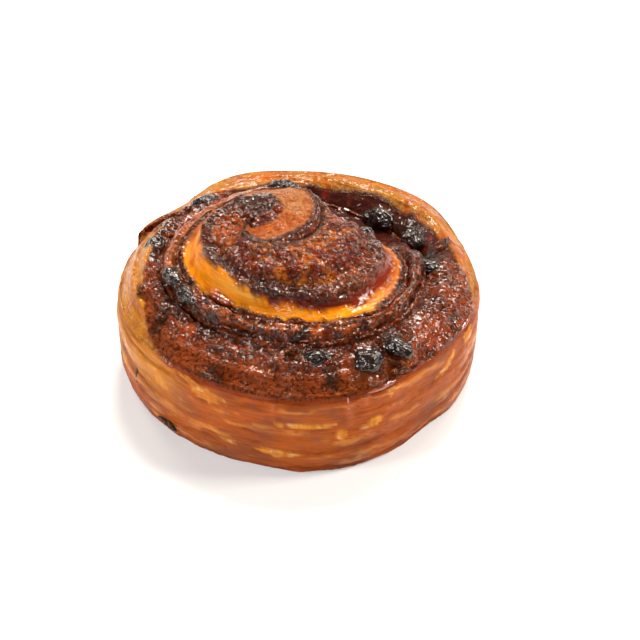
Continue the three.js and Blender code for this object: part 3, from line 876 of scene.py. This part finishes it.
# Materials
class Recipe:
    """A procedural material being made. Each method adds a node and gives what comes out of it."""

    def __init__(self, name):
        self.material = bpy.data.materials.new(name)
        self.material.use_nodes = True
        self.nodes = self.material.node_tree.nodes
        self.links = self.material.node_tree.links
        self.shader = self.nodes["Principled BSDF"]

    def feed(self, value, socket):
        """Sets a socket to a number or a colour, or links another node's output to it."""
        if isinstance(value, (int, float)):
            socket.default_value = value
        elif isinstance(value, np.ndarray):
            socket.default_value = (*value, 1)
        else:
            self.links.new(value, socket)

    def to_shader(self, value, name):
        self.links.new(value, self.shader.inputs[name])

    def place(self):
        return self.nodes.new("ShaderNodeTexCoord").outputs["Object"]

    def attribute(self, name, output="Fac"):
        made = self.nodes.new("ShaderNodeAttribute")
        made.attribute_name = name
        return made.outputs[output]

    def noise(self, vector, scale, detail=3.0, roughness=0.6):
        made = self.nodes.new("ShaderNodeTexNoise")
        self.feed(scale, made.inputs["Scale"])
        self.feed(detail, made.inputs["Detail"])
        self.feed(roughness, made.inputs["Roughness"])
        self.feed(vector, made.inputs["Vector"])
        return made.outputs["Fac"]

    def bubbles(self, vector, scale):
        """Rounded pebbles, 0 in the middle of each and about 0.4 in the cracks between them."""
        made = self.nodes.new("ShaderNodeTexVoronoi")
        made.feature = "SMOOTH_F1"
        self.feed(scale, made.inputs["Scale"])
        self.feed(0.35, made.inputs["Smoothness"])
        self.feed(vector, made.inputs["Vector"])
        return self.maths("POWER", made.outputs["Distance"], 2.0)

    def ramp(self, value, low, high, to_low=0.0, to_high=1.0):
        made = self.nodes.new("ShaderNodeMapRange")
        ends = {"From Min": low, "From Max": high, "To Min": to_low, "To Max": to_high}
        for name, end in ends.items():
            self.feed(end, made.inputs[name])
        self.feed(value, made.inputs["Value"])
        return made.outputs["Result"]

    def maths(self, operation, a, b):
        made = self.nodes.new("ShaderNodeMath")
        made.operation = operation
        self.feed(a, made.inputs[0])
        self.feed(b, made.inputs[1])
        return made.outputs[0]

    def times(self, a, b):
        return self.maths("MULTIPLY", a, b)

    def plus(self, a, b):
        return self.maths("ADD", a, b)

    def mix(self, share, a, b, mode="MIX"):
        made = self.nodes.new("ShaderNodeMix")
        made.data_type = "RGBA"
        made.blend_type = mode
        for name, kind, value in (("Factor", "VALUE", share), ("A", "RGBA", a), ("B", "RGBA", b)):
            socket = next(s for s in made.inputs if s.name == name and s.type == kind)
            self.feed(value, socket)
        return next(s for s in made.outputs if s.type == "RGBA")

    def bump(self, height, distance, names):
        """Bump of a height from 0 to 1, at a distance in metres, for the named normals."""
        made = self.nodes.new("ShaderNodeBump")
        self.feed(1.0, made.inputs["Strength"])
        self.feed(distance, made.inputs["Distance"])
        self.feed(height, made.inputs["Height"])
        for name in names:
            self.to_shader(made.outputs["Normal"], name)


def dough_material():
    made = Recipe("baked_dough")
    place = made.place()
    tint = made.attribute("tint", "Color")
    grit = made.attribute("grit")
    gloss = made.attribute("gloss")

    grains = made.noise(place, 1000, 2, 0.5)
    waves = made.noise(place, 420, 1, 0.5)
    lines = made.noise(made.attribute("grain", "Vector"), 1.0, 3, 0.6)
    pebbles = made.bubbles(place, 640)
    # Painted shade: the colour darkens in the low pits of the grain and in the cracks between the
    # pebbles.
    pit_shade = made.times(made.ramp(grains, 0.52, 0.36), grit)
    cracks = made.times(made.times(made.ramp(pebbles, 0.1, 0.42), grit), gloss)
    patches = made.ramp(made.noise(place, 170, 2, 0.5), 0.42, 0.58, 0.25, 1)
    shade = made.mix(made.times(pit_shade, 0.8), tint, PIT_AND_CRACK_SHADE)
    shade = made.mix(made.times(cracks, 0.8), shade, PIT_AND_CRACK_SHADE)
    shade = made.mix(1.0, shade, made.ramp(lines, 0.3, 0.7, 0.8, 1.2), "MULTIPLY")
    made.to_shader(shade, "Base Color")

    rough_part = made.times(grains, made.ramp(grit, 0, 1, 0.12, 1))
    bubbly = made.times(made.times(pebbles, made.times(grit, -0.7)), patches)
    height = made.plus(made.plus(rough_part, made.times(lines, 0.3)), bubbly)
    made.bump(height, 0.0011, ["Normal"])
    wet = made.times(made.plus(made.times(waves, 1.1), bubbly), made.ramp(grit, 0, 1, 0.22, 1))
    made.bump(made.plus(wet, made.times(lines, 0.12)), 0.0015, ["Coat Normal"])
    made.to_shader(made.times(gloss, made.ramp(waves, 0.35, 0.45, 0.4, 1)), "Coat Weight")
    made.to_shader(made.ramp(gloss, 0, 1, 0.7, 0.4), "Roughness")
    shader = made.shader
    shader.inputs["Coat Roughness"].default_value = 0.05
    shader.inputs["Coat IOR"].default_value = 1.42
    shader.inputs["Coat Tint"].default_value = (1, 0.92, 0.78, 1)
    shader.inputs["Specular Tint"].default_value = (1, 0.62, 0.36, 1)
    shader.inputs["Specular IOR Level"].default_value = 0.07
    return made.material


def dress_dough(material):
    values, faces = dough_skin()
    values["along"] = wall_along(values)
    zones = dough_zones(values)
    relief = dough_relief(values, zones)
    co = values["co"] + normals_of(values["co"], faces) * relief[:, None]
    co[:, 2] = np.maximum(co[:, 2], 0)
    x, y, z = values["co"].T
    grain = np.stack([values["along"] / 9, values["across"] / 0.7, z / 0.8], 1)
    grain = mix(grain, values["co"] / 3, zones["hollow"][:, None])
    wet = 0.9 + 0.3 * layered(x, y, 8, 81) - 0.75 * zones["dry"]
    wet = mix(wet, 0.25 + 0.2 * zones["streak"] + 0.3 * zones["runs"], values["wall"])
    wet = wet + zones["amber"] + 0.5 * zones["glazed"]
    for name, less in DRIER.items():
        wet = wet - less * zones[name]
    grit = zones["crust"] + 0.5 * zones["lobe"] + 0.25 * zones["rim_gold"]
    grit = grit - 0.7 * np.maximum(zones["hollow"], zones["glazed"])
    attributes = {"grain": grain, "grit": np.clip(grit, 0, 1), "gloss": np.clip(wet, 0, 1)}
    made = mesh_object("baked_dough", co, faces, material)
    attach(made, "root")
    keep_values(made.data, attributes, {"tint": dough_colour(values, zones)})
    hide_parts("dough")


# Filling
def dress_filling(material):
    skin = Skin(("along",))
    count = (SLOT_LAST - SLOT_FIRST) * FINE - 1
    step = SLOT_FIRST + (1 + np.arange(count)) / FINE
    half = FILLING_THICKNESS / 2
    towards, away = slot_edge(step, -1, half), slot_edge(step, 1, half)
    run = np.cumsum(np.hypot(*np.diff(towards[:, :2], axis=0, prepend=towards[:1, :2]).T))
    turns = angle_at(step) / TURN
    ooze = 0.1 + 0.6 * layered(towards[:, 0], towards[:, 1], 2.2, 61) - 0.5 * between(turns, 0.6, 0.4)
    ooze = ooze + 0.9 * bridged(towards[:, 0], towards[:, 1])
    rows = 5
    shares = np.linspace(0, 1, rows)
    top = mix(towards[:, None, :], away[:, None, :], shares[None, :, None])
    top[:, :, 2] += (ooze[:, None] + 0.12) * np.sin(math.pi * mix(0.12, 0.88, shares))[None, :]
    top[:, :, 2] += 0.25 * noise(top[:, :, 0], top[:, :, 1], 0.9, 63)
    foot_in, foot_out = towards.copy(), away.copy()
    foot_in[:, 2] = foot_out[:, 2] = FILLING_LIFT
    section = np.concatenate([foot_in[:, None], top, foot_out[:, None]], 1)
    index = skin.points(section, along=run[:, None])
    skin.loft(index, index[0], index[-1][::-1])
    values, faces = skin.done()
    x, y = values["co"][:, 0], values["co"][:, 1]
    tint = blend(crust_colour(x, y), CRUST_DARK, np.full(len(x), 0.35)) * SHADE
    grain = np.stack([values["along"] / 9, x * 0, values["co"][:, 2] / 0.8], 1)
    attributes = {"grain": grain, "grit": np.ones(len(x)), "gloss": np.full(len(x), 0.9)}
    made = mesh_object("dark_filling", values["co"], faces, material)
    keep_values(made.data, attributes, {"tint": tint})
    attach(made, "root")
    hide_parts("filling")


# Raisins
def noise_on_ball(p, size, seed):
    """Noise over a ball, mixed from the three planes that face its surface."""
    weight = np.abs(p) ** 2
    total = noise(p[:, 1], p[:, 2], size, seed) * weight[:, 0]
    total += noise(p[:, 2], p[:, 0], size, seed + 1) * weight[:, 1]
    total += noise(p[:, 0], p[:, 1], size, seed + 2) * weight[:, 2]
    return total / weight.sum(1)


def wrinkled_ball(name, seed, at, size, turn, tilt, depth, material):
    """A lump with folds and creases, of the given depth, as long, wide and high as size says."""
    bpy.ops.mesh.primitive_ico_sphere_add(subdivisions=5, radius=0.5)
    made = bpy.context.object
    made.name = made.data.name = name
    mesh = made.data
    co = np.empty(len(mesh.vertices) * 3)
    mesh.vertices.foreach_get("co", co)
    unit = co.reshape(-1, 3) * 2
    x, y, z = (unit / 2).T
    swell = np.sin(7 * y + 9 * x + seed) * np.cos(6 * z - seed) - 0.6 * np.cos(9 * x + seed)
    folds = noise_on_ball(unit, 0.42, 70 + seed)
    creases = 1 - np.abs(noise_on_ball(unit * (1, 1.6, 1.6), 0.5, 90 + seed)) * 2
    swell = 1.03 + depth * (swell + 0.5 * folds - smooth(creases))
    body = unit / 2 * swell[:, None] * np.array(size)
    c, s = math.cos(tilt), math.sin(tilt)
    x, y, z = c * body[:, 0] + s * body[:, 2], body[:, 1], c * body[:, 2] - s * body[:, 0]
    c, s = math.cos(turn), math.sin(turn)
    placed = (np.stack([c * x - s * y, s * x + c * y, z], 1) + np.array(at)) * MM
    mesh.vertices.foreach_set("co", placed.astype(np.float32).ravel())
    mesh.polygons.foreach_set("use_smooth", np.full(len(mesh.polygons), True))
    mesh.update()
    mesh.materials.append(material)
    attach(made, "root")
    return made, placed / MM, noise_on_ball(unit, 0.3, 50 + seed)


def dress_raisin(number, entry, material):
    name, at, size, turn, tilt = entry
    shown = name.replace("raisin", "wrinkled_raisin")
    made, _, _ = wrinkled_ball(shown, number, at, size, turn, tilt, 0.1, material)
    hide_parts(name)


def dress_bit(number, entry, material):
    """A burnt flake or knob of crust, paler where it is baked less."""
    name, at, size, turn, tilt, dark = entry
    made, points, mottle = wrinkled_ball(name, 30 + number, at, size, turn, tilt, 0.16, material)
    count = len(points)
    colour = laid(
        all_over(mix(TAN, CRUST, 0.4), points),
        (CRUST_DARK, 0.5 + 0.9 * mottle),
        (BURNT, dark + 0.6 * mottle),
    )
    attributes = {"grit": np.ones(count), "gloss": np.full(count, 0.5), "grain": points / 3}
    keep_values(made.data, attributes, {"tint": np.clip(colour * SHADE, 0.001, 1)})


def raisin_material():
    made = Recipe("raisin_skin")
    place = made.place()
    mottle = made.noise(place, 350, 4, 0.6)
    fine = made.noise(place, 1300, 3, 0.6)
    made.to_shader(made.mix(made.ramp(mottle, 0.35, 0.7), RAISIN_DARK, RAISIN_BROWN), "Base Color")
    made.bump(made.plus(mottle, made.times(fine, 0.5)), 0.0006, ["Normal"])
    made.bump(mottle, 0.0005, ["Coat Normal"])
    made.to_shader(made.ramp(fine, 0.3, 0.7, 0.35, 0.55), "Roughness")
    shader = made.shader
    shader.inputs["Coat Weight"].default_value = 0.9
    shader.inputs["Coat Roughness"].default_value = 0.04
    shader.inputs["Coat IOR"].default_value = 1.5
    shader.inputs["Specular Tint"].default_value = (1, 0.7, 0.5, 1)
    shader.inputs["Specular IOR Level"].default_value = 0.1
    return made.material


# Glaze that has set in beads and runs
def tube(name, path, radius, material):
    """A bead of glaze along a path, thinning to nothing at both ends."""
    path = np.asarray(path, float)
    count, sides = len(path), 12
    along = np.linspace(0, 1, count)
    wobble = 1 + 0.3 * noise(along * 9, along * 0, 1, len(name))
    thick = radius * np.sqrt(np.clip(np.sin(math.pi * along), 0.0004, 1)) * wobble
    ahead = np.gradient(path, axis=0)
    ahead /= np.linalg.norm(ahead, axis=1, keepdims=True)
    upright = np.where(np.abs(ahead[:, 2:]) > 0.7, np.array([0, 1.0, 0]), np.array([0, 0, 1.0]))
    side = np.cross(ahead, upright)
    side /= np.linalg.norm(side, axis=1, keepdims=True)
    third = np.cross(side, ahead)
    turn = np.arange(sides) / sides * TURN
    spokes = side[:, None] * np.cos(turn)[None, :, None] + third[:, None] * np.sin(turn)[None, :, None]
    skin = Skin(())
    index = skin.points(path[:, None] + spokes * thick[:, None, None])
    skin.loft(index, index[0][::-1], index[-1])
    values, faces = skin.done()
    made = mesh_object(name, values["co"], faces, material)
    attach(made, "root")


def glaze_material():
    made = Recipe("set_glaze")
    mottle = made.noise(made.place(), 300, 3, 0.6)
    made.to_shader(made.mix(made.ramp(mottle, 0.35, 0.65), GLAZE_DARK, GLAZE_PALE), "Base Color")
    made.to_shader(made.ramp(mottle, 0.3, 0.7, 0.15, 0.35), "Roughness")
    made.bump(mottle, 0.0006, ["Normal", "Coat Normal"])
    shader = made.shader
    shader.inputs["Coat Weight"].default_value = 1.0
    shader.inputs["Coat Roughness"].default_value = 0.05
    shader.inputs["Coat IOR"].default_value = 1.5
    return made.material


def along_seam(start, end, side, lift=0.55):
    """A path beside the seam between two places given in turns."""
    step = np.linspace((start + 0.5) * STEPS, (end + 0.5) * STEPS, 30)
    path = slot_edge(step, side, 1.1)
    path[:, 2] += lift
    return path


def along_rim(start, end):
    angle = np.radians(np.linspace(start, end, 20))
    radius = wall_radius(angle) - 0.8
    return np.stack([radius * np.cos(angle), radius * np.sin(angle), rim_height(angle) - 0.35], 1)


def down_wall(degrees, lowest):
    height = np.linspace(float(rim_height(math.radians(degrees))), lowest, 20)
    angle = np.radians(degrees + 0.7 * noise(height, height, 5, 57))
    radius = wall_radius(angle) - 0.45
    return np.stack([radius * np.cos(angle), radius * np.sin(angle), height], 1)


def dress_glaze():
    material = glaze_material()
    tube("glaze_seam_front", along_seam(1.74, 1.83, -1), 0.6, material)
    tube("glaze_seam_left", along_seam(1.60, 1.66, -1), 0.5, material)
    tube("glaze_seam_inner", along_seam(0.70, 0.76, 1), 0.45, material)
    tube("glaze_seam_pool", along_seam(0.60, 0.645, -1, 1.45), 1.5, material)
    tube("glaze_rim_front", along_rim(291, 303), 0.9, material)
    tube("glaze_rim_right", along_rim(336, 343), 0.6, material)
    tube("glaze_run_front", down_wall(285.6, 17), 0.7, material)
    tube("glaze_run_back", down_wall(128, 19), 0.65, material)


# Floor, lights and camera
def make_stage():
    bpy.ops.mesh.primitive_plane_add(size=6)
    floor = bpy.context.object
    floor.name = "floor"
    made = Recipe("pale_floor")
    shader = made.shader
    shader.inputs["Base Color"].default_value = (0.64, 0.64, 0.64, 1)
    shader.inputs["Roughness"].default_value = 0.9
    shader.inputs["Specular IOR Level"].default_value = 0.1
    shader.inputs["Emission Color"].default_value = (1, 1, 1, 1)
    shader.inputs["Emission Strength"].default_value = 0.3
    floor.data.materials.append(made.material)

    world = bpy.data.worlds.new("studio")
    world.use_nodes = True
    world.node_tree.nodes["Background"].inputs["Color"].default_value = (1, 1, 1, 1)
    world.node_tree.nodes["Background"].inputs["Strength"].default_value = 0.15
    bpy.context.scene.world = world


WARM = (1, 0.92, 0.82)
WHITE = (1, 1, 1)
LIGHT_DISTANCE = 2.2

# Name, azimuth with 0 on the camera's side and 90 on the right, elevation, size, radiance, colour
SOFTBOXES = [
    ("key_light", 170, 57, 0.72, 48, WARM),
    ("back_left_light", -148, 30, 0.5, 21, WARM),
    ("back_right_light", 142, 40, 0.5, 18, WARM),
    ("right_light", 92, 42, 0.56, 41, WARM),
    ("left_light", -69, 25, 0.5, 33, WHITE),
    ("front_light", -12, 40, 0.5, 14, WHITE),
]


def softbox(name, azimuth, elevation, size, radiance, colour):
    """A square light aimed at the pastry."""
    a, e = math.radians(azimuth), math.radians(elevation)
    direction = Vector((math.sin(a) * math.cos(e), -math.cos(a) * math.cos(e), math.sin(e)))
    data = bpy.data.lights.new(name, "AREA")
    data.shape = "SQUARE"
    data.size = size
    data.energy = radiance * math.pi * size * size
    data.color = colour
    made = bpy.data.objects.new(name, data)
    made.location = Vector((0, 0, 0.03)) + direction * LIGHT_DISTANCE
    made.rotation_mode = "QUATERNION"
    made.rotation_quaternion = (-direction).to_track_quat("-Z", "Y")
    bpy.context.scene.collection.objects.link(made)


CAMERA_ELEVATION = math.radians(39)
CAMERA_DISTANCE = 0.75
AIM = Vector((0, 0, 0.024))
AIM_PIXEL = (299, 295)  # where the aim point lies in the photograph, 640 pixels wide and high
PHOTO_SIZE = 640
PIXELS_PER_METRE = 3580  # at the aim point


def make_camera():
    data = bpy.data.cameras.new("camera")
    made = bpy.data.objects.new("camera", data)
    back = Vector((0, -math.cos(CAMERA_ELEVATION), math.sin(CAMERA_ELEVATION)))
    made.location = AIM + back * CAMERA_DISTANCE
    made.rotation_mode = "QUATERNION"
    made.rotation_quaternion = (-back).to_track_quat("-Z", "Y")
    width = PHOTO_SIZE / PIXELS_PER_METRE
    data.sensor_width = 36
    data.lens = data.sensor_width * CAMERA_DISTANCE / width
    data.shift_x = (PHOTO_SIZE / 2 - AIM_PIXEL[0]) / PHOTO_SIZE
    data.shift_y = (AIM_PIXEL[1] - PHOTO_SIZE / 2) / PHOTO_SIZE
    data.clip_start, data.clip_end = 0.01, 20
    bpy.context.scene.collection.objects.link(made)
    bpy.context.scene.camera = made


crust_and_crumb = dough_material()
dress_dough(crust_and_crumb)
dress_filling(crust_and_crumb)
skin_of_raisins = raisin_material()
for number, entry in enumerate(RAISINS):
    dress_raisin(number, entry, skin_of_raisins)
for number, entry in enumerate(BITS):
    dress_bit(number, entry, crust_and_crumb)
dress_glaze()
make_stage()
for entry in SOFTBOXES:
    softbox(*entry)
make_camera()
bpy.context.scene.view_settings.view_transform = "Standard"
